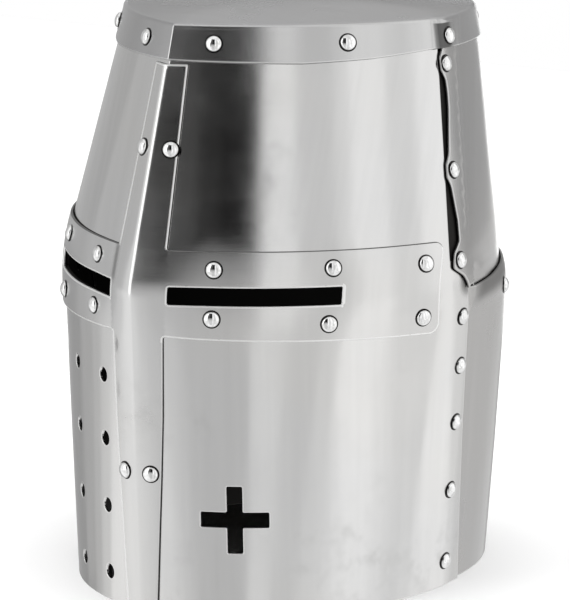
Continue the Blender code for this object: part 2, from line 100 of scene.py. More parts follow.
def rolled(values, half_length):
    """Running mean along a row of values, which rounds a sharp bend and keeps the ends straight."""
    steps = np.arange(1, half_length + 1)
    before = values[0] - (values[1] - values[0]) * steps[::-1]
    after = values[-1] + (values[-1] - values[-2]) * steps
    kernel = np.ones(2 * half_length + 1) / (2 * half_length + 1)
    return np.convolve(np.concatenate([before, values, after]), kernel, mode="valid")


def smooth(value, low, high):
    """0 at low and before it, 1 at high and past it, with a soft start and end."""
    t = np.clip((np.asarray(value, float) - low) / (high - low), 0.0, 1.0)
    return t * t * (3.0 - 2.0 * t)


def survey_shell():
    """Points and outward normals of the shell at every half millimetre of arc and millimetre of height."""
    arcs = np.arange(ARC_FROM, ARC_TO + ARC_STEP, ARC_STEP)
    heights = np.arange(SHELL_FROM, SHELL_TO + 1.0)
    places = np.zeros((len(heights), len(arcs), 4))
    corners, girths = [], []
    for row, height in enumerate(heights):
        points, arc, corner = half_section(height)
        girth = arc[-1]
        wrapped = (arcs + girth) % (2 * girth) - girth
        x = np.interp(np.abs(wrapped), arc, points[:, 0]) * np.sign(wrapped)
        y = np.interp(np.abs(wrapped), arc, points[:, 1])
        bend = CORNER_FOLD[1] + (CORNER_FOLD[0] - CORNER_FOLD[1]) * smooth(height, *FOLD_CHANGE)
        bend = int(round(bend / ARC_STEP))
        by_corner = smooth(np.abs(np.abs(wrapped) - corner), *FOLD_REACH)
        x = x + (rolled(x, bend) - x) * by_corner
        y = y + (rolled(y, bend) - y) * by_corner
        run_x, run_y = np.gradient(x), np.gradient(y)
        length = np.hypot(run_x, run_y)
        places[row] = np.stack([x, y, run_y / length, -run_x / length], 1)
        corners.append(corner)
        girths.append(girth)
    crisp, swept, soft = (
        np.apply_along_axis(rolled, 0, places, reach) for reach in (BROW_FOLD, BROW_SWEEP, SIDE_SWEEP)
    )
    girth = girths[int(SHELL[1, 0] - SHELL_FROM)]
    from_keel = np.abs((arcs + girth) % (2 * girth) - girth)
    mixed = soft + (swept - soft) * smooth(from_keel, *SWEEP_CHANGE)[None, :, None]
    mixed = crisp + (mixed - crisp) * smooth(from_keel, *KEEL_CHANGE)[None, :, None]
    return heights, mixed, np.array(corners), np.array(girths)


SURVEY_HEIGHTS, SURVEY, CORNERS, GIRTHS = survey_shell()


def corner_arc(height):
    return np.interp(height, SURVEY_HEIGHTS, CORNERS)


def half_girth(height):
    return np.interp(height, SURVEY_HEIGHTS, GIRTHS)


def nearer_side(arc, height):
    """The arc from the keel the shorter way round: past the middle of the back it grows less again."""
    return np.minimum(arc, 2 * half_girth(height) - arc)


def on_shell(arc, height, offset):
    """Points in metres at arc lengths, heights and offsets."""
    arc, height, offset = (np.asarray(v, float) for v in (arc, height, offset))
    u = np.clip((arc - ARC_FROM) / ARC_STEP, 0, SURVEY.shape[1] - 1.001)
    v = np.clip(height - SHELL_FROM, 0, SURVEY.shape[0] - 1.001)
    i, j = v.astype(int), u.astype(int)
    fu, fv = (u - j)[..., None], (v - i)[..., None]
    low = SURVEY[i, j] * (1 - fu) + SURVEY[i, j + 1] * fu
    high = SURVEY[i + 1, j] * (1 - fu) + SURVEY[i + 1, j + 1] * fu
    place = low * (1 - fv) + high * fv
    x = place[..., 0] + offset * place[..., 2]
    y = place[..., 1] + offset * place[..., 3]
    return np.stack([x, y, height + 0.0 * x], axis=-1) * MM


def along(table, at):
    """Value at a place in a small table of (place, value) rows."""
    return np.interp(at, *zip(*table))


def unit(vectors):
    return vectors / np.linalg.norm(vectors, axis=1)[:, None]


def directions(at, s, z, step):
    """The surface's directions along the arc and upwards, from its points a step to either side."""
    return at(s + step, z) - at(s - step, z), at(s, z + step) - at(s, z - step)


def resampled(loop, spacing):
    """The closed loop with points no further apart than the spacing. Its own corners stay."""
    out = []
    for a, b in zip(loop, np.roll(loop, -1, axis=0)):
        count = max(1, math.ceil(np.hypot(*(b - a)) / spacing))
        out += [a + (b - a) * k / count for k in range(count)]
    return np.array(out)


def mitres(loop):
    """For each point of a loop with its material on the left, the step that moves both edges in by one."""
    ahead = np.roll(loop, -1, axis=0) - loop
    left = np.stack([-ahead[:, 1], ahead[:, 0]], 1) / np.hypot(*ahead.T)[:, None]
    before = np.roll(left, 1, axis=0)
    return (left + before) / (1.0 + np.sum(left * before, 1))[:, None]


def inside(points, loops):
    """Even-odd test of points against loops."""
    hit = np.zeros(len(points), bool)
    for loop in loops:
        for (ax, ay), (bx, by) in zip(loop, np.roll(loop, -1, axis=0)):
            spans = (points[:, 1] > min(ay, by)) & (points[:, 1] <= max(ay, by))
            if spans.any():
                cross = ax + (points[spans, 1] - ay) * (bx - ax) / (by - ay)
                hit[spans] ^= points[spans, 0] < cross
    return hit


def edge_profile(rounding):
    """Section of a dressed plate edge, from the outer face to the inner one: the distance in from the
    outline, the depth, and how far the normal turns from the face to the edge (degrees)."""
    rows = []
    for turn in (0.0, 22.5, 45.0, 67.5, 90.0):
        a = math.radians(turn)
        rows.append((rounding * (1 - math.sin(a)), rounding * (1 - math.cos(a)), turn))
    for turn in (90.0, 135.0, 180.0):
        a = math.radians(turn)
        rows.append((BURR * (1 - math.sin(a)), SHEET - BURR * (1 + math.cos(a)), turn))
    return rows + [(max(rounding, BURR) + 0.01, SHEET, 180.0)]


def tube(rings):
    """Quads between rows of point numbers, each row closed on itself."""
    beside = np.roll(rings, -1, 1)
    return np.stack([rings[:-1], rings[1:], beside[1:], beside[:-1]], 2).reshape(-1, 4)


RIM_SPACING = 1.25  # of the points along an outline
EDGE_BAND = 1.4  # how far in from an edge its painted highlight or painted shadow line may reach


def with_room(points, more, room):
    """The points, and those of the others that keep the given distance from them."""
    tree = KDTree(len(points))
    for k, (x, y) in enumerate(points):
        tree.insert((x, y, 0.0), k)
    tree.balance()
    clear = [tree.find((x, y, 0.0))[2] > room for x, y in more]
    return np.vstack([points, more[np.array(clear)]])


# Every edge gets a painted highlight line.
def highlight_every_edge(left, up, height):
    return 1.0


def plate(name, outline, holes, offset, black, rounding=0.5, spacing=2.5, creases=(), edge_light_of=highlight_every_edge):
    """A sheet plate as one closed mesh, with its own normals and a UV map of arc and height in metres.
    The outline runs anticlockwise and the holes clockwise, in arc and height. One function says where black
    is painted on as shade. Creases are lines the mesh follows: arc at a height, the height it starts at, and
    steps to either side. Another gives the painted light on an edge from the way it faces and its height: 1 a
    painted highlight line, more for a wider one, 0 plain, -1 a painted shadow line."""
    loops = [resampled(np.array(loop, float), RIM_SPACING) for loop in [outline] + list(holes)]
    steps = [mitres(loop) for loop in loops]
    profile = edge_profile(rounding)
    rings = [loop + profile[0][0] * step for loop, step in zip(loops, steps)]
    flat = np.vstack(rings)
    edges = []
    for ring in rings:
        first = len(edges)
        edges += [(first + k, first + (k + 1) % len(ring)) for k in range(len(ring))]

    # A lattice of near equal triangles, but with lines of points along the creases and edges.
    low, high = flat.min(axis=0), flat.max(axis=0)
    rows = np.arange(low[1] + spacing / 2, high[1], spacing * 0.87)
    columns = np.arange(math.floor(low[0] / spacing) * spacing, high[0], spacing)
    shifts = spacing / 2 * (np.arange(len(rows)) % 2)
    lattice = [np.stack([columns + shift, np.full(len(columns), z)], 1) for shift, z in zip(shifts, rows)]
    lattice = np.vstack(lattice)
    for crease, lowest, steps_out in creases:
        near = np.abs(lattice[:, 0] - crease(lattice[:, 1])) < spacing * 0.45 + max(steps_out)
        lattice = lattice[~(near & (lattice[:, 1] > lowest))]
        line = np.arange(max(low[1], lowest) + spacing, high[1], spacing)
        lattice = np.vstack([lattice] + [np.stack([crease(line) + step, line], 1) for step in steps_out])
    lattice = lattice[inside(lattice, rings)]
    band = np.vstack([loop + (profile[0][0] + EDGE_BAND) * step for loop, step in zip(loops, steps)])
    flat = with_room(flat, band[inside(band, rings)], 0.8 * EDGE_BAND)
    flat = with_room(flat, lattice, 0.8)

    mesh_2d = delaunay_2d_cdt([Vector(p) for p in flat], edges, [], 0, 1e-5)
    order = np.array([source[0] for source in mesh_2d[3]])
    faces = order[np.array(mesh_2d[2])]
    faces = faces[inside(flat[faces].mean(1), rings)]
    a, b, c = (flat[faces[:, k]] for k in range(3))
    turn = (b[:, 0] - a[:, 0]) * (c[:, 1] - a[:, 1]) - (b[:, 1] - a[:, 1]) * (c[:, 0] - a[:, 0])
    faces[turn < 0] = faces[turn < 0][:, ::-1]
    verts, normals, places = [], [], []

    def add(points, depth, turned=0.0, step=None, flip=1.0):
        """Lay points on the plate at a depth under its outer face, and say where they start. On an edge
        the normal is turned from the face towards the step that leads out."""
        start = sum(len(v) for v in verts)

        def at(s, z):
            return on_shell(s, z, offset(s, z) - depth)

        run, rise = (unit(way) for way in directions(at, *points.T, 0.25))
        face = np.cross(run, rise)
        if step is not None:
            edge = unit(-(run * step[:, :1] + rise * step[:, 1:]))
            face = face * math.cos(math.radians(turned)) + edge * math.sin(math.radians(turned))
        verts.append(at(*points.T))
        normals.append(unit(face) * flip)
        ways = np.vstack(steps) if step is None else step
        # How much painted highlight or painted shadow each point of an edge carries.
        edge_light = np.zeros(len(points))
        edge_light[: len(ways)] = edge_light_of(*-ways.T, points[: len(ways), 1])
        places.append(np.column_stack([points, np.full(len(points), depth), edge_light]))
        return start

    outer, inner = add(flat, 0.0), add(flat, SHEET, flip=-1.0)
    polygons = [*(faces + outer), *(faces[:, ::-1] + inner)]
    start = 0
    for loop, step in zip(loops, steps):
        count = np.arange(len(loop))
        ids = [outer + start + count]
        for inset, depth, turned in profile[1:-1]:
            ids.append(add(loop + inset * step, depth, turned, step) + count)
        ids.append(inner + start + count)
        polygons += [*tube(np.array(ids))]
        start += len(loop)
    places = np.vstack(places)
    mesh, corners = smooth_mesh(name, np.vstack(verts), polygons)
    show_places(mesh, places[corners, :2] * MM, places[:, 2], places[:, 3], black(*places[:, :2].T))
    mesh.normals_split_custom_set_from_vertices([tuple(n) for n in np.vstack(normals)])
    return shown(name, mesh)


def shown(name, mesh):
    thing = bpy.data.objects.new(name, mesh)
    bpy.context.scene.collection.objects.link(thing)
    return thing


def smooth_mesh(name, verts, faces):
    """A smooth-shaded mesh, and the number of the point at each corner of its faces."""
    mesh = bpy.data.meshes.new(name)
    mesh.from_pydata([tuple(v) for v in verts], [], [tuple(f) for f in faces])
    mesh.validate()
    mesh.polygons.foreach_set("use_smooth", [True] * len(mesh.polygons))
    corners = np.zeros(len(mesh.loops), dtype=np.int32)
    mesh.loops.foreach_get("vertex_index", corners)
    return mesh, corners


def note(mesh, name, values):
    """One number at every point of the mesh, for its material to read."""
    mesh.attributes.new(name, "FLOAT", "POINT").data.foreach_set("value", np.asarray(values, float))


def show_places(mesh, uv, depth, edge_light, painted_shade):
    """What the satin steel, its painted highlights and its painted shade read of each point."""
    mesh.uv_layers.new(name="arc_and_height").data.foreach_set("uv", uv.ravel())
    note(mesh, "depth", depth)
    note(mesh, "edge_light", edge_light)
    note(mesh, "painted_shade", painted_shade)


TURN = (150, 176)  # heights between which the overlap of the side seam changes over
FLARE = (140, 182)  # arcs over which the plate comes to stand out by a millimetre below the turn
PLATE_TOP = 289.0
PANEL_END = 16.0  # how far the flange runs past the cheek's corner
FLANGE_SLOPE = 0.06
FRONT_EDGE = ((0, 191), (41, 188), (88, 185.5), (140, 184), (160, 182.5), (176, 177.4))  # height, arc
SLIT = (18, 104, 160.2, 169)  # eye slit: arc from, arc to, lower and upper height
CUT_CORNER = 0.9  # radius of the slit's and the cross's corners
CROSS_CENTRE = (49.8, 51)
CROSS_SPAN = 34.6
CROSS_ARM = 7.9
BREATH_RADIUS = 3.75
BREATH_COLUMNS = (0.183, 0.400)  # as shares of the way to the cheek's corner
BREATH_ROWS = (15, 50, 84.9, 117.8)
UNSHADED = -0.3  # up to here the steel is left bare, and from 0.3 on it is painted black as shade
PAINTED_DARK = 0.33  # how much a painted dark patch adds to that
TIP_DARK = (181, 163, 10, 3)  # painted dark reflection by the tip of the upper plate: arc, height, reach and core


def front_offset(arc, height):
    """Outer face of the face plate: its flange falls in above the turn and spreads out below it."""
    upper = smooth(height, *TURN)
    flange = -FLANGE_SLOPE * np.maximum(0.0, np.abs(arc) - corner_arc(height))
    return flange * upper + smooth(np.abs(arc), *FLARE) * (1.0 - upper)


def front_edge(height):
    past_turn = corner_arc(height) + PANEL_END
    return np.where(height < TURN[1], along(FRONT_EDGE, height), past_turn)


def circle(centre, radius):
    """Clockwise round hole."""
    a = -np.linspace(0.0, 2 * math.pi, 40, endpoint=False)
    return np.stack([centre[0] + radius * np.cos(a), centre[1] + radius * np.sin(a)], 1)


def slot_loop(side, grow=0.0):
    """Clockwise eye slit with small corner rounds."""
    left, right = sorted((side * (SLIT[0] - grow), side * (SLIT[1] + grow)))
    low, high = SLIT[2] - grow, SLIT[3] + grow
    return rounded([(left, low), (left, high), (right, high), (right, low)], CUT_CORNER)


def rounded(corners, radius):
    """The polygon with each corner turned into a short arc."""
    corners = np.array(corners, float)
    out = []
    for before, here, after in zip(np.roll(corners, 1, axis=0), corners, np.roll(corners, -1, axis=0)):
        into = (before - here) / np.hypot(*(before - here))
        onto = (after - here) / np.hypot(*(after - here))
        for t in np.linspace(0.0, 1.0, 5):
            out.append(here + radius * (into * (1 - t) ** 2 + onto * t**2))
    return np.array(out)


def greek_cross():
    """Clockwise outline of the cut cross."""
    arm, span = CROSS_ARM / 2, CROSS_SPAN / 2
    quarter = ((arm, arm), (arm, span), (-arm, span))
    points = []
    for k in range(4):
        c, s = round(math.cos(k * math.pi / 2)), round(math.sin(k * math.pi / 2))
        points += [(CROSS_CENTRE[0] + c * x - s * y, CROSS_CENTRE[1] + s * x + c * y) for x, y in quarter]
    return rounded(points[::-1], CUT_CORNER)


def with_mirror(left):
    """A half outline and its mirror image across the keel."""
    return np.vstack([left, left[::-1] * (-1.0, 1.0)])


heights = np.append(np.arange(0.0, PLATE_TOP, 4.0), PLATE_TOP)
face_outline = with_mirror(np.stack([front_edge(heights), heights], 1))
face_cuts = [slot_loop(1, 0.5), slot_loop(-1, 0.5), greek_cross()]
face_cuts += [
    circle((-column * float(corner_arc(row)), row), BREATH_RADIUS)
    for column in BREATH_COLUMNS
    for row in BREATH_ROWS
]


def face_shade(arc, height):
    """Painted shade: black on the flange past the cheek's corner and round the eye slits, where other plates
    cover the face plate, and a painted dark reflection by the tip of the upper plate."""
    arc = np.abs(arc)
    flange = np.minimum(arc - corner_arc(height) - 0.6, height - TURN[1])
    across = np.minimum(arc - SLIT[0], SLIT[1] - arc)
    slit = 3.0 + np.minimum(across, np.minimum(height - SLIT[2], SLIT[3] - height))
    by_tip = PAINTED_DARK * smooth(np.hypot(arc - TIP_DARK[0], height - TIP_DARK[1]), *TIP_DARK[2:]) + UNSHADED
    return np.maximum(np.maximum(flange, slit), by_tip)


FOLD_LINES = (
    (lambda height: 0.0 * height, 0.0, (-0.8, -0.3, 0.0, 0.3, 0.8)),
    (corner_arc, 165.0, (-1.2, -0.4, 0.4, 1.2)),
    (lambda height: -corner_arc(height), 165.0, (-1.2, -0.4, 0.4, 1.2)),
)
face = plate("face_plate", face_outline, face_cuts, front_offset, face_shade, 0.35, creases=FOLD_LINES)


def sockets(tree, way, **kinds):
    """The named inputs or outputs of a group."""
    for name, kind in kinds.items():
        tree.interface.new_socket(name=name, in_out=way, socket_type="NodeSocket" + kind)


class Wiring:
    """Short-hand for adding linked nodes to a tree."""

    def __init__(self, tree):
        self.tree = tree

    def node(self, kind, props=None, **inputs):
        made = self.tree.nodes.new(kind)
        for key, value in (props or {}).items():
            setattr(made, key, value)
        self.feed(made, **inputs)
        return made

    def feed(self, node, **inputs):
        """Links or values for a node's inputs, by their names or by their places: i0, i1 and so on."""
        for key, value in inputs.items():
            named = [s for s in node.inputs if s.name == key.replace("_", " ") and s.enabled]
            spot = named[0] if named else node.inputs[int(key[1:])]
            if isinstance(value, bpy.types.NodeSocket):
                self.tree.links.new(value, spot)
            else:
                spot.default_value = value

    def math(self, what, a, b):
        return self.node("ShaderNodeMath", {"operation": what}, i0=a, i1=b).outputs[0]

    def times(self, a, b):
        return self.math("MULTIPLY", a, b)

    def plus(self, a, b):
        return self.math("ADD", a, b)

    def vector(self, what, **inputs):
        return self.node("ShaderNodeVectorMath", {"operation": what}, **inputs).outputs[0]

    def read(self, name):
        return self.node("ShaderNodeAttribute", {"attribute_name": name}).outputs["Fac"]

    def noise(self, place, scale, detail, rough):
        made = self.node("ShaderNodeTexNoise", Vector=place, Scale=scale, Detail=detail, Roughness=rough)
        return made.outputs["Fac"]

    def spread(self, value, low, high, to_low=0.0, to_high=1.0):
        ends = {"From_Min": low, "From_Max": high, "To_Min": to_low, "To_Max": to_high}
        made = self.node("ShaderNodeMapRange", {"interpolation_type": "SMOOTHSTEP"}, Value=value, **ends)
        return made.outputs[0]

    def blend(self, share, a, b):
        return self.node("ShaderNodeMix", {"data_type": "RGBA"}, i0=share, i6=a, i7=b).outputs[2]


# Black painted as shade, on the inside, under edges and where marked.
SHADE_BLACK = (0.02, 0.019, 0.018, 1)
# Near white of the painted highlight along edges.
HIGHLIGHT_WHITE = (0.97, 0.97, 0.96, 1)


def satin_group():
    """Belt-ground steel as colour, roughness and height: the streaks of the belt, cloudy polish, finger
    marks, a painted highlight along the edges, and black painted as shade inside, under edges and where
    marked."""
    tree = bpy.data.node_groups.new("satin_and_painted_light", "ShaderNodeTree")
    sockets(tree, "INPUT", Steel="Color", Smudge="Color", Filed="Float", Polish="Float", Dull="Float")
    sockets(tree, "OUTPUT", Colour="Color", Roughness="Float", Height="Float")
    w = Wiring(tree)
    given = tree.nodes.new("NodeGroupInput").outputs
    place = w.node("ShaderNodeTexCoord").outputs["Object"]
    surface = w.node("ShaderNodeUVMap", {"uv_map": "arc_and_height"}).outputs[0]
    lengthwise = w.node("ShaderNodeMapping", Vector=surface, Scale=(30.0, 900.0, 1.0)).outputs[0]
    grain = w.noise(lengthwise, 1, 3, 0.6)
    clouds = w.noise(place, 16, 4, 0.6)
    marks = w.noise(place, 70, 3, 0.55)
    smudge = w.times(w.spread(clouds, 0.52, 0.74), w.spread(marks, 0.45, 0.7))

    upright = w.node("ShaderNodeMapping", Vector=surface, Scale=(160.0, 7.0, 1.0)).outputs[0]
    streaks = w.math("SUBTRACT", w.noise(upright, 1, 3, 0.5), 0.5)
    steel = w.vector("SCALE", i0=given["Steel"], i3=w.plus(1, w.times(streaks, 0.1)))
    warm, cool = (1.005, 1.0, 0.994, 1.0), (0.997, 0.998, 1.004, 1.0)
    tint = w.blend(w.spread(w.noise(place, 11, 2, 0.5), 0.35, 0.65), warm, cool)
    colour = w.blend(w.times(smudge, 0.3), w.vector("MULTIPLY", i0=steel, i1=tint), given["Smudge"])

    depth, edge_light = w.read("depth"), w.read("edge_light")
    # Painted highlight: the outer part of each marked edge turns near white.
    highlight = w.times(w.spread(edge_light, 0.6, 0.95), w.spread(depth, 0.5, 0.8, 1, 0))
    highlight = w.times(highlight, given["Filed"])
    # Painted shade: a dark line along edges marked for it, black on the inner face and the lower part of each
    # edge, and black where points are marked as shaded.
    shaded = w.times(w.spread(edge_light, -0.4, -0.9), w.spread(depth, 0, 0.1))
    scale = w.math("MAXIMUM", w.spread(depth, 0.85, 1.2), w.spread(w.read("painted_shade"), UNSHADED, -UNSHADED))
    scale = w.math("MAXIMUM", scale, w.times(shaded, 0.75))
    colour = w.blend(scale, w.blend(highlight, colour, HIGHLIGHT_WHITE), SHADE_BLACK)
    rough = w.plus(given["Polish"], w.times(w.spread(clouds, 0.3, 0.7), given["Dull"]))
    for part, share in ((w.math("SUBTRACT", grain, 0.5), 0.05), (smudge, 0.08), (scale, 0.45), (highlight, 0.4)):
        rough = w.plus(rough, w.times(part, share))
    w.node("NodeGroupOutput", Colour=colour, Roughness=rough, Height=grain)
    return tree


def steel_start(name):
    """A new material, the wiring of its tree and its shader."""
    material = bpy.data.materials.new(name)
    material.use_nodes = True
    return material, Wiring(material.node_tree), material.node_tree.nodes["Principled BSDF"]


satin = satin_group()


def plate_steel(name, steel, smudge, highlight, polish, dull):
    """Satin steel outside with a painted highlight along its edges, and black painted as shade inside and
    where marked.
    """
    material, w, shader = steel_start(name)
    looks = {"Steel": (*steel, 1.0), "Smudge": (*smudge, 1.0), "Filed": highlight, "Polish": polish, "Dull": dull}
    finish = w.node("ShaderNodeGroup", {"node_tree": satin}, **looks).outputs
    bump = w.node("ShaderNodeBump", Strength=0.02, Distance=0.0002, Height=finish["Height"]).outputs[0]
    w.feed(shader, Base_Color=finish["Colour"], Roughness=finish["Roughness"], Metallic=1.0, Normal=bump)
    return material


STEEL, SMUDGED = (0.622, 0.62, 0.614), (0.42, 0.42, 0.41)
face.data.materials.append(plate_steel("face_plate_steel", STEEL, SMUDGED, 0.3, 0.11, 0.09))
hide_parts("front_plate")
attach(face, "root")

# ======== rear lower plate
# The collar round the back of the neck. Its front edges are tucked behind the face plate, and its top
# edge laps over the upper plate, so that water runs off.

COLLAR_BACK = ((0, 1.35), (60, 2.4), (110, 2.7), (142, 2.9), (150, 2.5), (158, 1.6), (164, 0.2), (178, -0.4))
COLLAR_FRONT = 168.0  # arc of its front edges
COLLAR_LIP = 1.7  # how far its top edge stands out beside the seam
TIP = (181, 160.5)  # lowest front point of the upper rear plate: arc, height


def rear_lower_offset(arc, height):
    """Outer face of the collar."""
    arc = nearer_side(arc, height)
    back = along(COLLAR_BACK, height)
    seam = front_offset(np.minimum(arc, 184.0), height) - LAYER
    wall = seam + (back - seam) * smooth(arc, 188, 236)
    lip = seam + (COLLAR_LIP - seam) * smooth(arc, 184, 189)
    lip = lip + (back - lip) * smooth(arc, 196, 236)
    return wall + (lip - wall) * smooth(height, 143, 157)


def rear_lower_top(arc):
    """Height of the collar's top edge at an arc length up to the middle of the back."""
    share = (arc - TIP[0]) / (half_girth(SHELL[1, 0]) - TIP[0])
    rise = 160.0 + 5.0 * np.sin(math.pi / 2 * np.clip(share, 0.0, 1.0))
    return np.where(arc < 183.0, 156.0 + 4.0 * smooth(arc, 178, 183), rise)


def round_back(half):
    """The half loop from the front on the left to the middle of the back, with its mirror image."""
    other = half[::-1].copy()
    other[:, 0] = 2 * half_girth(other[:, 1]) - other[:, 0]
    return half, other


bottom = np.linspace(COLLAR_FRONT, half_girth(0.0), 40)
top = np.append(np.linspace(COLLAR_FRONT, 200.0, 20), np.linspace(204.0, half_girth(176.0), 40))
bottom_left, bottom_right = round_back(np.stack([bottom, 0 * bottom], 1))
top_left, top_right = round_back(np.stack([top, rear_lower_top(top)], 1))
collar_outline = np.vstack([bottom_left, bottom_right[1:], top_right[::-1], top_left[::-1][1:]])


def lip_shade(arc, height):
    """Painted dark reflection: the collar darkens just below its top edge, from beside the tip of the upper
    plate round towards the back.
    """
    arc = nearer_side(arc, height)
    below = rear_lower_top(arc) - height
    return PAINTED_DARK * smooth(below, 15, 5) * smooth(arc, 178, 200) * smooth(arc, 300, 240) + UNSHADED


collar = plate("rear_lower_plate_ground", collar_outline, [], rear_lower_offset, lip_shade)
rear_steel = plate_steel("rear_plate_steel", (0.462, 0.458, 0.452), (0.3, 0.3, 0.295), 0.2, 0.2, 0.08)
collar.data.materials.append(rear_steel)
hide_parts("rear_lower_plate")
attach(collar, "root")

# ======== rear upper plate
# The plate round the back of the skull. It laps over the face plate's flange with a scalloped edge,
# with a round tab for each rivet, and goes down behind the collar.

NAPE_BACK = (
    (144, 1), (158, -0.4), (164, -1.7), (169, -1.9), (178, -1.7), (187, -1.3), (201, -0.9),
    (228, -0.2), (258, 0.9), (271, 1.3), (280, 1.1), (290, 0.6),
)
SCALLOP = (
    (172, 7), (180, 8), (186, 8.6), (195, 8), (204, 5.6), (212, 3.6), (228, 3.2),
    (240, 4.4), (250, 5.4), (258, 5.2), (266, 3.8), (276, 2.8), (290, 2.4),
)
TABS = ((176, 5, 6.5), (220, 2.6, 6), (272, 2.4, 6))  # height, reach forward, half height
NAPE_FOLD = 17.0  # faint fold behind the front edge, where the plate was bent to lie on the flange
FOLD_RISE = 0.25
FOLD_WIDTH = 3.0
NAPE_LOW = 145.0  # the lower edge, behind the collar
NAPE_DIP = (189.5, 206)  # arcs between which the lower edge goes down to there
NAPE_LAP = 1.6  # how far it shows over the collar's edge before that


def rear_upper_offset(arc, height):
    arc = nearer_side(arc, height)
    seam = front_offset(arc, height) + LAYER
    past_corner = arc - corner_arc(height)
    wall = seam + (along(NAPE_BACK, height) - seam) * smooth(past_corner, 12, 60)
    fold = np.maximum(0.0, 1.0 - np.abs(past_corner - NAPE_FOLD) / FOLD_WIDTH)
    wall = wall + FOLD_RISE * fold * smooth(height, 178, 200)
    under = np.minimum(wall, rear_lower_offset(arc, height) - LAYER)
    hidden = smooth(height, 171, 168) * smooth(arc, 187, 189)
    return wall + (under - wall) * hidden


def scallop_edge(height):
    """Arc of the front edge, with its rounded tabs round the rivets."""
    start = corner_arc(height) + along(SCALLOP, height)
    for tab_height, reach, half in TABS:
        start = start - reach * smooth(np.abs(height - tab_height), half * 1.5, half * 0.4)
    fall = smooth(height, 173, TIP[1])
    return start + (TIP[0] - start) * fall


front = np.concatenate([np.arange(TIP[1], 180.0, 0.7), np.arange(180.0, PLATE_TOP, 1.0), [PLATE_TOP]])
front_left, front_right = round_back(np.stack([scallop_edge(front), front], 1))
showing = np.linspace(TIP[0] + 2.5, NAPE_DIP[0], 7)
dipping = np.linspace(NAPE_DIP[0] + 1.5, NAPE_DIP[1], 8)
hidden = np.linspace(NAPE_DIP[1] + 4.0, half_girth(NAPE_LOW), 30)
low_heights = np.concatenate(
    [
        rear_lower_top(showing) + NAPE_LAP,
        TIP[1] - (TIP[1] - NAPE_LOW) * smooth(dipping, *NAPE_DIP),
        NAPE_LOW + 0 * hidden,
    ]
)
low_left, low_right = round_back(np.stack([np.concatenate([showing, dipping, hidden]), low_heights], 1))
nape_outline = np.vstack([low_left, low_right[1:], front_right[::-1], front_left[::-1]])


def under_collar(arc, height):
    """Painted shade: black where the plate runs down behind the collar."""
    return rear_lower_top(nearer_side(arc, height)) - height - 1.5


nape = plate("rear_upper_plate_ground", nape_outline, [], rear_upper_offset, under_collar)
nape.data.materials.append(rear_steel)
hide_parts("rear_upper_plate")
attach(nape, "root")

# ======== face cross
# A second layer riveted over the face: a strip down the keel and a bar across the brow in one piece,
# with the eye slits cut through it. The strip is raised to a ridge, and the edges are filed round.

# Heights with the strip's half width and with how far its ridge stands out.
STRIP_HALF = ((0, 9), (40, 11.2), (70, 13), (103, 14.6), (143, 15.6), (187, 14.8), (276, 9.8))
STRIP_RIDGE = ((0, 1), (143, 1), (187, 1.6), (276, 1.5))
STRIP_TOP = 275.4
BAR_END = 158.0
BAR_TOP = 186.7
BAR_LOW = (143.8, 140.9)  # at the keel and at its ends
BAR_CORNER = 6.0
FILLET = 1.5
WIDE_SHINE = 5.0  # how much wider the painted highlight is on edges that face the wearer's right
# Patches of painted shade under the ridge's foot: arc, height, half height, core and how dark each is
# painted.
SHADE_PATCHES = ((-11.5, 137, 6.5, 0.3, 0.9), (-11, 114, 9, 0.2, 0.55))


def cross_offset(arc, height):
    """Outer face of the cross, with the ridge of its keel strip."""
    blunt = 0.2 + 3.0 * smooth(height, 196, 176)
    away = np.sqrt(np.asarray(arc, float) ** 2 + blunt**2) - blunt / 2
    rise = np.clip(1.0 - away / along(STRIP_HALF, height), 0.0, 1.0)
    return front_offset(arc, height) + LAYER + along(STRIP_RIDGE, height) * rise


def quarter(across, up, radius, start, end):
    """Points on a quarter circle between two angles in degrees."""
    a = np.radians(np.linspace(start, end, 9))
    return np.stack([across + radius * np.cos(a), up + radius * np.sin(a)], 1)


def strip_side(heights):
    return np.stack([along(STRIP_HALF, heights), heights], 1)


def cross_outline():
    """Anticlockwise: up the strip's left side, round the bar's end, and on to the top, then mirrored."""
    low, high = BAR_LOW[0] - FILLET, BAR_TOP + FILLET
    span = BAR_END - BAR_CORNER
    under = np.arange(30.0, span, 6.0)
    parts = (
        strip_side(np.arange(0.0, low, 6.0)),
        quarter(along(STRIP_HALF, low) + FILLET, low, FILLET, 180, 90),
        np.stack([under, BAR_LOW[0] + (BAR_LOW[1] - BAR_LOW[0]) * under / BAR_END], 1),
        quarter(span, BAR_LOW[1] + BAR_CORNER, BAR_CORNER, -90, 0),
        quarter(span, BAR_TOP - BAR_CORNER, BAR_CORNER, 0, 90),
        quarter(along(STRIP_HALF, high) + FILLET, high, FILLET, 270, 180),
        strip_side(np.append(np.arange(high + 4.0, STRIP_TOP, 6.0), STRIP_TOP)),
    )
    return with_mirror(np.vstack(parts))


def cross_edge_light(left, up, height):
    """Painted light on the edges: a wider painted highlight on those facing the wearer's right, none on the
    strip's edge facing the wearer's left below the bar, and a painted shadow line along the bar's top edge.
    """
    edge_light_of = np.where(left < -0.6, WIDE_SHINE, 1.0)
    edge_light_of = np.where((left > 0.6) & (height < BAR_LOW[1]), 0.0, edge_light_of)
    return np.where((up > 0.6) & (np.abs(height - BAR_TOP) < 5.0), -1.0, edge_light_of)


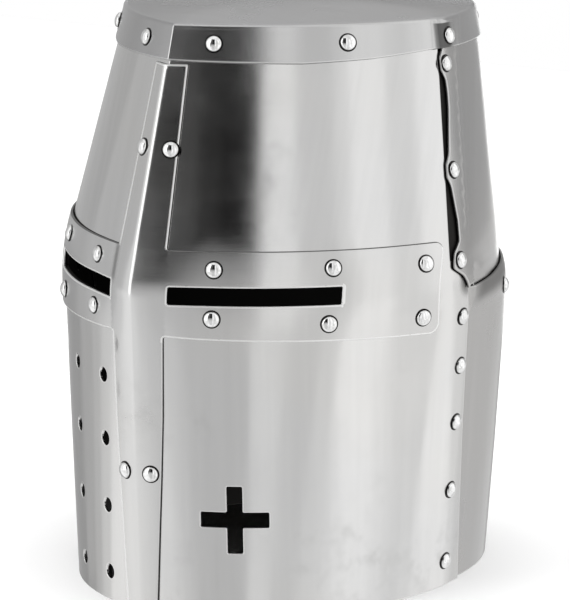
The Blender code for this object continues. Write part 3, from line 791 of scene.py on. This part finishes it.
def cross_shade(arc, height):
    """Painted shade on the wearer's right, along the foot of the ridge where it runs out into the bar, and in
    two faint patches below."""
    shaded = smooth(np.abs(arc + 15.5), 4, 0.6) * smooth(height, 165, 172) * smooth(height, 192, 184)
    for across, up, reach, core, share in SHADE_PATCHES:
        away = np.hypot((arc - across) / 2.6, (height - up) / reach)
        shaded = np.maximum(shaded, share * smooth(away, 1, core))
    return PAINTED_DARK * shaded + UNSHADED


cross = plate(
    "face_cross_filed", cross_outline(), [slot_loop(1), slot_loop(-1)], cross_offset, cross_shade,
    rounding=0.55, spacing=2.0, creases=FOLD_LINES[:1], edge_light_of=cross_edge_light,
)
cross.data.materials.append(plate_steel("face_cross_steel", STEEL, SMUDGED, 0.65, 0.16, 0.09))
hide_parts("face_cross")
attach(cross, "root")

# ======== crown cap
# The lid: a slightly dished sheet whose rim is hammered down over the tops of the plates and riveted
# through them. The rim keeps the fold of the keel in front and of the corners at the sides.

CAP_EDGE = 292.5  # height where the skirt starts to bend over
CAP_BEND = 2.5
CAP_DISH = 5.85
CAP_EASE = 0.15
CAP_CREASE_SHADE = 0.4  # painted shade behind the corner's crease
CAP_RIM = ((0, 277.2), (65, 276), (100, 277.2), (137, 280), (160, 279.5), (320, 279))
SKIRT = 285.0  # middle height of the skirt
ROUNDED_BY = 12  # points over which the fold of the keel dies away on the top


def cap_offset(arc, height):
    behind = smooth(arc - corner_arc(height), -4, 1)
    over = rear_upper_offset(np.maximum(arc, corner_arc(height) + 1.0), np.minimum(height, PLATE_TOP))
    return LAYER + behind * (CAP_EASE + over)


def cap_rows():
    """Rings of points from the middle of the top, over the bend, down the rim, round its lower edge and
    back up the inside, as (points, depth, height up the skirt and over the top, share of an edge's painted
    highlight)."""
    by_keel = np.array([0.3, 0.7]) / (2 * float(half_girth(SKIRT)))
    turn = np.sort(np.concatenate([np.arange(480) / 480.0, by_keel, 1.0 - by_keel]))
    count = len(turn)

    def mitred(points):
        """The ring with the fold of the keel drawn out to where its two like sides meet."""
        along_side = points[5] - points[3]
        points[0] = points[3] - along_side * points[3, 0] / along_side[0]
        points[1] = points[0] + 0.25 * (points[3] - points[0])
        points[2] = points[0] + 0.6 * (points[3] - points[0])
        half = count // 2
        points[half + 1 :] = points[1:half][::-1] * (-1.0, 1.0, 1.0)
        return points

    def ring(height, depth):
        height = height + np.zeros(count)
        arcs = turn * 2 * half_girth(height)
        return on_shell(arcs, height, cap_offset(nearer_side(arcs, height), height) - depth)

    def rim_ring(lift, depth, edge_inset=0.5):
        """lift 0 is the rim's lower edge and 1 the start of the bend."""
        low = along(CAP_RIM, nearer_side(turn * 2 * half_girth(SKIRT), SKIRT)) + edge_inset
        return mitred(ring(low + lift * (CAP_EDGE - low), depth))

    def bend_ring(angle, depth):
        radius = CAP_BEND - depth
        points = ring(CAP_EDGE, 0.0)
        inward = np.array([0.0, (points[:, 1].min() + points[:, 1].max()) / 2]) - points[:, :2]
        points[:, :2] += unit(inward) * (CAP_BEND - radius * math.cos(angle)) * MM
        points[:, 2] += radius * math.sin(angle) * MM
        return mitred(points)

    def top_ring(share, depth):
        rim = bend_ring(math.pi / 2, depth)
        middle = np.array([0.0, (rim[:, 1].min() + rim[:, 1].max()) / 2, 0.0])
        wrapped = np.vstack([rim[-ROUNDED_BY:], rim, rim[:ROUNDED_BY]])
        eased = np.array([wrapped[k : k + 2 * ROUNDED_BY + 1].mean(axis=0) for k in range(count)])
        points = middle + share * (eased + (rim - eased) * share**30 - middle)
        points[:, 2] = (CAP_EDGE + CAP_BEND - depth + CAP_DISH * (1 - share**2)) * MM
        return points

    shares = np.concatenate([np.linspace(0.02, 0.9, 36), np.linspace(0.92, 0.99, 6)])
    angles = np.radians(np.linspace(90.0, 0.0, 8))
    lifts = np.append(np.linspace(0.96, 0.14, 7), (0.07, 0.0))
    over = CAP_EDGE + CAP_BEND
    outside = [(top_ring, s, over + 110.0 * (1 - s), 290.0) for s in shares]
    outside += [(bend_ring, a, CAP_EDGE + CAP_BEND * a, 290.0) for a in angles]
    outside += [(rim_ring, t, 280.0 + t * 12.0, 280.0) for t in lifts]
    rows = [(make(at, 0.0), 0.0, up, float(make is rim_ring and at == 0.0)) for make, at, up, _ in outside]
    rows += [(rim_ring(0.0, depth, inset), depth, 279.0, 1.0) for inset, depth, _ in edge_profile(0.5)[1:-1]]
    rows += [(make(at, SHEET), SHEET, up, 0.0) for make, at, _, up in outside[::-1]]
    return rows, turn


def cap_mesh():
    """The cap, mapped from straight above on top and by arc and height on its skirt."""
    rows, turn = cap_rows()
    verts = np.vstack([row[0] for row in rows])
    depths, heights, edges = (np.repeat([row[k] for row in rows], len(turn)) for k in (1, 2, 3))
    arcs = np.tile(turn * 2 * float(half_girth(SKIRT)), len(rows))
    rings = np.arange(len(verts)).reshape(len(rows), len(turn))
    mesh, corners = smooth_mesh("crown_cap_raised", verts, [*tube(rings), rings[0], rings[-1, ::-1]])
    totals = np.array([len(polygon.vertices) for polygon in mesh.polygons])

    def whole(flags):
        """For each face, whether all its points are flagged."""
        return np.minimum.reduceat(flags[corners], np.cumsum(totals) - totals)

    over_rim = CAP_EDGE + CAP_BEND
    on_top = np.repeat(whole(heights > over_rim), totals)[:, None]
    uv = np.where(on_top, verts[corners][:, 1::-1], np.stack([arcs, heights], 1)[corners] * MM)
    # Painted shade on the skirt just behind the corner's crease.
    behind = nearer_side(arcs, SKIRT) - corner_arc(SKIRT)
    crease_shade = smooth(behind, -3.5, -1.5) * smooth(behind, 14, 5) * (heights < CAP_EDGE)
    show_places(mesh, uv, depths, edges, CAP_CREASE_SHADE * crease_shade + UNSHADED)
    # Painted light: the outer skirt in front, on the wearer's left, takes the brighter copy of the cap steel.
    lit_front = (arcs < corner_arc(SKIRT)) & (heights < over_rim) & (depths < SHEET / 2)
    mesh.polygons.foreach_set("material_index", whole(lit_front).astype(np.int32))
    return shown("crown_cap_raised", mesh)


cap = cap_mesh()
for steel in (  # the second, brighter copy is painted light, for the skirt in front on the wearer's left
    ("cap_steel", (0.45, 0.45, 0.45), (0.33, 0.33, 0.325), 0.25, 0.2, 0.08),
    ("cap_skirt_lit_steel", (0.53, 0.53, 0.527), (0.4, 0.4, 0.395), 0.25, 0.17, 0.08),
):
    cap.data.materials.append(plate_steel(*steel))
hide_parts("crown_cap")
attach(cap, "root")

# ======== rivets
# Round-headed steel rivets, set from outside with the head polished and the tail hammered flat inside.
# One tree sets a whole row of them on their points, each turned onto the plate and never quite alike.

HEAD_RADIUS = 4.0
HEAD_FOOT = 0.3  # height of the head's straight side
SHADOW_RING_RADIUS = 4.66  # the ring under the head, painted black as the shadow round its foot
SEAT = 0.1
SHADED_FOOT = 0.3  # height up the head's side that is painted black as shade
DOME_RADIUS = 3.3  # where the shallow dome rolls over into the shoulder
DOME_SLOPE = math.radians(33.0)  # how steep it is there
SHANK_RADIUS = 1.9
TAIL_RADIUS = 2.8
TAIL_HEIGHT = 0.9
SIDES = 40
HEAD_GAP = 0.15
TAIL_GAP = 0.25
GRIP_SHARE = 0.965  # of the layers' level distance, because the plates lean
KEEL_SLACK = 0.5  # how much longer the keel's rivets are
UNEVEN = 0.03  # share by which the heads' sizes and directions vary
CAP_RIVETS = (21, 87, 142.8, 222, 292.6, -24, -89.5, -142.8, -222)
CAP_RIVET_HEIGHT = 285.6
CAP_CORNER = (138, 150)  # arcs between which a rivet is by the cap's corner
KEEL_RIVETS = ((8.6, 234.6), (-7.2, 234.6), (8, 73.1), (-6.6, 73.1))
BAR_RIVETS_UPPER = ((39.3, 177.8), (98, 178.2), (148, 176.9), (-35.2, 178.2), (-87, 179.4), (-148, 177))
BAR_RIVETS_LOWER = ((40, 153.7), (97.8, 150.8), (148.4, 150), (-35.4, 152.6), (-85.5, 151), (-148.4, 150))
UPPER_SIDE_RIVETS = ((145, 272), (158.9, 219.9), (171.4, 175.7))
LOWER_SIDE_RIVETS = ((177.8, 146), (178.4, 119.8), (177.7, 89.6), (176.7, 52.9), (175.8, 13.8))
BROW_RIVETS = ((238, 151), (290, 152), (335, 153))


def rivet_steel():
    material, w, shader = steel_start("rivet_steel")
    scuffs = w.noise(w.node("ShaderNodeTexCoord").outputs["Object"], 420, 3, 0.6)
    tone = w.blend(w.spread(scuffs, 0.35, 0.75), (0.84, 0.84, 0.84, 1.0), (0.62, 0.62, 0.61, 1.0))
    # Painted shade: the head's foot and the ring under it are black.
    tone = w.blend(w.spread(w.read("painted_shade"), -0.05, 0.05), tone, SHADE_BLACK)
    rough = w.spread(scuffs, 0.3, 0.75, 0.02, 0.05)
    bump = w.node("ShaderNodeBump", Strength=0.02, Distance=0.0001, Height=scuffs).outputs[0]
    w.feed(shader, Base_Color=tone, Roughness=rough, Metallic=1.0, Normal=bump)
    return material


def rivet_blank(grip):
    """A turned rivet along Z with its head's underside at the origin."""
    ball = DOME_RADIUS / math.sin(DOME_SLOPE)
    shoulder = (HEAD_RADIUS - DOME_RADIUS) / (1 - math.sin(DOME_SLOPE))
    start = HEAD_FOOT + shoulder * math.cos(DOME_SLOPE) - ball * math.cos(DOME_SLOPE)
    outline = [(ball * math.sin(a), start + ball * math.cos(a)) for a in np.linspace(0.0, DOME_SLOPE, 12)]
    for a in np.linspace(DOME_SLOPE, math.pi / 2, 8)[1:]:
        outline.append((HEAD_RADIUS - shoulder * (1 - math.sin(a)), HEAD_FOOT + shoulder * math.cos(a)))
    outline += [(HEAD_RADIUS, 0.15), (HEAD_RADIUS, 0.02), (SHADOW_RING_RADIUS, 0.0), (SHADOW_RING_RADIUS, -SEAT)]
    outline += [(SHANK_RADIUS, -SEAT), (SHANK_RADIUS, -grip)]
    outline += [(TAIL_RADIUS - 0.1, -grip), (TAIL_RADIUS, -grip - 0.15), (TAIL_RADIUS - 0.5, -grip - 0.65)]
    outline += [(0.0, -grip - TAIL_HEIGHT)]
    around = np.linspace(0.0, 2 * math.pi, SIDES, endpoint=False)
    verts = [(0.0, 0.0, outline[0][1])]
    verts += [(radius * math.cos(a), radius * math.sin(a), z) for radius, z in outline[1:-1] for a in around]
    verts = np.array(verts + [(0.0, 0.0, outline[-1][1])])
    rings = 1 + np.arange(len(verts) - 2).reshape(-1, SIDES)
    fans = [(0, a, b) for a, b in zip(rings[0], np.roll(rings[0], -1))]
    fans += [(len(verts) - 1, b, a) for a, b in zip(rings[-1], np.roll(rings[-1], -1))]
    mesh, _ = smooth_mesh("rivet_blank", verts * MM, [*tube(rings), *fans])
    mesh.set_sharp_from_angle(angle=math.radians(50))
    # Points low on the head and on the ring under it are marked for painted shade.
    note(mesh, "painted_shade", SHADED_FOOT - verts[:, 2])
    return bpy.data.objects.new("rivet_blank", mesh)


def setting_tree():
    """Points with an axis in, finished rivets out."""
    tree = bpy.data.node_groups.new("set_rivets", "GeometryNodeTree")
    sizes = {"Unevenness": "Float", "Seed": "Int"}
    sockets(tree, "INPUT", Points="Geometry", Blank="Object", Steel="Material", **sizes)
    sockets(tree, "OUTPUT", Rivets="Geometry")
    w = Wiring(tree)
    given = tree.nodes.new("NodeGroupInput").outputs
    uneven, seed = given["Unevenness"], given["Seed"]
    low, high = (w.vector("SCALE", i0=(sign, sign, sign), i3=uneven) for sign in (-1.0, 1.0))
    tilt = w.node("FunctionNodeRandomValue", {"data_type": "FLOAT_VECTOR"}, Min=low, Max=high, Seed=seed)
    axis = w.node("GeometryNodeInputNamedAttribute", {"data_type": "FLOAT_VECTOR"}, Name="axis")
    lean = w.vector("ADD", i0=axis.outputs["Attribute"], i1=tilt.outputs[0])
    turn = w.node("FunctionNodeAlignRotationToVector", {"axis": "Z"}, Vector=lean).outputs[0]
    blank = w.node("GeometryNodeObjectInfo", Object=given["Blank"], As_Instance=True).outputs["Geometry"]
    spread = w.node("FunctionNodeRandomValue", {"data_type": "FLOAT"}, Min=0.0, Max=uneven, Seed=seed)
    size = w.math("SUBTRACT", 1.0, next(s for s in spread.outputs if s.enabled))
    points = {"Points": given["Points"], "Instance": blank, "Rotation": turn, "Scale": size}
    rivets = w.node("GeometryNodeInstanceOnPoints", **points).outputs[0]
    real = w.node("GeometryNodeRealizeInstances", Geometry=rivets).outputs[0]
    painted = w.node("GeometryNodeSetMaterial", Geometry=real, Material=given["Steel"]).outputs[0]
    w.node("NodeGroupOutput", Rivets=painted)
    return tree


def rivet_row(name, places, outer, inner, nodes, seed, slack=0.0):
    """One row of rivets as a plain mesh that stands for its CAD nodes."""
    arcs, heights = np.array(places).T

    def at(s, z):
        return on_shell(s, z, outer(np.abs(s), z))

    axis = unit(np.cross(*directions(at, arcs, heights, 1.0)))
    grip = float(np.mean(outer(np.abs(arcs), heights) - inner(np.abs(arcs), heights))) * GRIP_SHARE
    blank = rivet_blank(grip + SHEET + HEAD_GAP + TAIL_GAP + slack)
    mesh = bpy.data.meshes.new(name)
    mesh.from_pydata([tuple(p) for p in at(arcs, heights) + axis * HEAD_GAP * MM], [], [])
    mesh.attributes.new("axis", "FLOAT_VECTOR", "POINT").data.foreach_set("vector", axis.ravel())
    holder = shown(name + "_points", mesh)
    setting = holder.modifiers.new("set_rivets", "NODES")
    setting.node_group = rivet_setting
    wanted = {"Blank": blank, "Steel": head_steel, "Unevenness": UNEVEN, "Seed": seed}
    for item in rivet_setting.interface.items_tree:
        if item.in_out == "INPUT" and item.name in wanted:
            setting[item.identifier] = wanted[item.name]
    bpy.context.view_layer.update()
    ready = holder.evaluated_get(bpy.context.evaluated_depsgraph_get())
    row = shown(name, bpy.data.meshes.new_from_object(ready))
    bpy.data.objects.remove(holder)
    bpy.data.objects.remove(blank)
    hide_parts(*nodes)
    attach(row, "root")


def both_sides(places):
    return places + tuple((-arc, height) for arc, height in places)


head_steel = rivet_steel()
rivet_setting = setting_tree()
cap_places = [(arc, CAP_RIVET_HEIGHT) for arc in CAP_RIVETS]
cap_front = [place for place in cap_places if abs(place[0]) <= CAP_CORNER[0]]
cap_corner = [place for place in cap_places if CAP_CORNER[0] < abs(place[0]) < CAP_CORNER[1]]
cap_back = [place for place in cap_places if abs(place[0]) >= CAP_CORNER[1]]
rivet_rows = (
    ("cap_rivet", cap_front, cap_offset, front_offset),
    ("cap_corner_rivet", cap_corner, cap_offset, front_offset),
    ("cap_rear_rivet", cap_back, cap_offset, rear_upper_offset),
    ("keel_rivet", KEEL_RIVETS, cross_offset, front_offset),
    ("bar_upper_rivet", BAR_RIVETS_UPPER, cross_offset, front_offset),
    ("bar_lower_rivet", BAR_RIVETS_LOWER, cross_offset, front_offset),
    ("upper_side_rivet", both_sides(UPPER_SIDE_RIVETS), rear_upper_offset, front_offset),
    ("lower_side_rivet", both_sides(LOWER_SIDE_RIVETS), front_offset, rear_lower_offset),
    ("brow_rivet", both_sides(BROW_RIVETS), rear_lower_offset, rear_upper_offset),
)
for seed, (name, places, outer, inner) in enumerate(rivet_rows, 1):
    nodes = [f"{name}_{k}" for k in range(1, len(places) + 1)]
    rivet_row(name + "s", places, outer, inner, nodes, seed, KEEL_SLACK if name == "keel_rivet" else 0.0)

# ======== studio
# A pale floor, soft boxes round the helm and the camera. None of it belongs to the object.


def towards(azimuth, elevation, distance):
    """A place round the helm. Azimuth 0 is in front of the face and 90 on the wearer's left."""
    a, e = math.radians(azimuth), math.radians(elevation)
    return Vector((math.sin(a) * math.cos(e), -math.cos(a) * math.cos(e), math.sin(e))) * distance


def card(name, corners, grey, glow):
    """A flat card between four corners, which glows evenly or is plain black or grey cloth."""
    mesh = bpy.data.meshes.new(name)
    mesh.from_pydata([tuple(c) for c in corners], [], [(0, 1, 2, 3)])
    made = shown(name, mesh)
    material, w, shader = steel_start(name)
    w.feed(shader, Base_Color=(grey, grey, grey, 1), Roughness=1.0, Specular_IOR_Level=0.0)
    w.feed(shader, Emission_Color=(1, 1, 1, 1), Emission_Strength=glow)
    mesh.materials.append(material)
    made.visible_camera = name == "floor"
    return made


def screen(name, azimuths, elevations, glow, lean=(0.0, 0.0)):
    """An upright card round the helm between two azimuths and two elevations. Its lower corners may lean
    over by some degrees."""
    low, high = (Vector((0.0, 0.0, RING * math.tan(math.radians(e)))) for e in elevations)
    corners = [towards(a + over, 0.0, RING) + low for a, over in zip(azimuths, lean)]
    corners += [towards(a, 0.0, RING) + high for a in reversed(azimuths)]
    card(name, corners, 0.0, glow)


RING = 2.6  # distance of the boxes from the helm
FLOOR_HALF = 1.6
FLOOR_Z = -2e-5
floor_corners = [(x * FLOOR_HALF, y * FLOOR_HALF, FLOOR_Z) for x, y in ((-1, -1), (1, -1), (1, 1), (-1, 1))]
floor = card("floor", floor_corners, 0.9, 0.0)
floor.visible_glossy = False

# Soft boxes in two rings round the helm, above the floor and for the steel below it too: azimuth from
# and to, elevation from and to, how brightly each glows and how far its two lower corners lean over.
SOFT_BOXES = (
    (36, 49, -3, 50, 1.14), (49, 64, -3, 50, 0.84), (64, 70, -3, 50, 1), (70, 84, -3, 50, 1.2),
    (84, 95, -3, 50, 1), (95, 150, -3, 50, 1.25), (150, 196, -3, 34, 0.55), (196, 222, -3, 10, 1.8),
    (196, 222, 10, 15.5, 0.22), (196, 222, 15.5, 19, 0.42), (196, 222, 19, 34, 0.65),
    (222, 240, -3, 34, 0.55), (150, 240, 34, 66, 0.85), (240, 262, -3, 50, 0.54),
    (262, 284, -3, 50, 0.64), (284, 318, -3, 50, 1), (318, 350, -3, 50, 2),
    (-10, 1, -50, -3, 1.05), (1, 8, -50, -3, 0.84), (8, 33, -50, -3, 0.72), (33, 46, -50, -3, 0.98),
    (46, 60, -50, -3, 0.84), (60, 68, -14, -3, 0.95), (68, 86, -14, -3, 1.28), (86, 99, -14, -3, 0.98),
    (99, 142, -14, -3, 1.25), (60, 68, -26, -14, 0.95, 3, 20), (68, 86, -26, -14, 1.28, 20, 27),
    (86, 99, -26, -14, 0.98, 27, 34), (99, 142, -26, -14, 1.25, 34, 14), (142, 156, -26, -3, 1, 14, 4),
    (60, 156, -50, -26, 1), (156, 196, -50, -3, 0.84), (196, 224, -10, -3, 2.2), (196, 232, -50, -10, 0.5),
    (224, 232, -10, -3, 0.5), (232, 256, -17, -3, 0.42), (256, 268, -17, -3, 0.56),
    (232, 256, -50, -17, 0.3), (256, 268, -50, -17, 0.42), (268, 275, -50, -3, 0.66),
    (275, 283, -50, -3, 0.85), (283, 350, -50, -3, 1.16),
)
for k, (start, end, low, high, glow, *lean) in enumerate(SOFT_BOXES, 1):
    lean = lean or (0, 0)
    bow = max(1, round((end - start) / 30.0))  # wide boxes are bowed, in parts of about 30 degrees
    for part in range(bow):
        span, over = ([a + (b - a) * k / bow for k in (part, part + 1)] for a, b in ((start, end), lean))
        screen(f"soft_box_{k}_{part + 1}", span, (low, high), glow, over)

# A dark cloth in front, thinner at its sides and frayed below: azimuths, elevations and what it lets pass.
CLOTH = (
    (-10, 36, -3, 2, 0.7), (-10, 36, 2, 6, 0.62), (-10, 36, 6, 10, 0.5), (-10, 36, 10, 13, 0.4),
    (-10, 36, 13, 16, 0.3), (-10, 36, 16, 18, 0.18), (-10, 6, 18, 60, 0.15), (6, 14, 18, 60, 0.08),
    (14, 22, 18, 60, 0.03), (22, 36, 18, 60, 0.01),
)
for k, (start, end, low, high, glow) in enumerate(CLOTH, 1):
    screen(f"dark_cloth_{k}", (start, end), (low, high), glow)

overhead = card("overhead", [(-4, -4, 4.2), (-4, 4, 4.2), (4, 4, 4.2), (4, -4, 4.2)], 0.0, 2.6)
overhead.visible_glossy = False

world = bpy.data.worlds.new("studio")
bpy.context.scene.world = world
world.use_nodes = True
Wiring(world.node_tree).feed(world.node_tree.nodes["Background"], Color=(1, 1, 1, 1), Strength=1.0)

AIM = Vector((0.0, -0.0036, 0.150))
AZIMUTH, ELEVATION, DISTANCE = 35.35, 11.72, 1.88233
OFF_RIGHT, OFF_DOWN = 0.00551, 0.00955  # where the middle of the view lies from the aim
back = towards(AZIMUTH, ELEVATION, 1.0)
right = towards(AZIMUTH + 90.0, 0.0, 1.0)
place = AIM + back * DISTANCE
look = (AIM + right * OFF_RIGHT - back.cross(right) * OFF_DOWN) - place
camera = bpy.data.objects.new("camera", bpy.data.cameras.new("camera"))
bpy.context.scene.collection.objects.link(camera)
camera.location = place
camera.rotation_mode = "QUATERNION"
camera.rotation_quaternion = look.to_track_quat("-Z", "Y")
camera.data.lens = 216.58
camera.data.sensor_width = 36.0
bpy.context.scene.camera = camera
bpy.context.scene.view_settings.view_transform = "Standard"
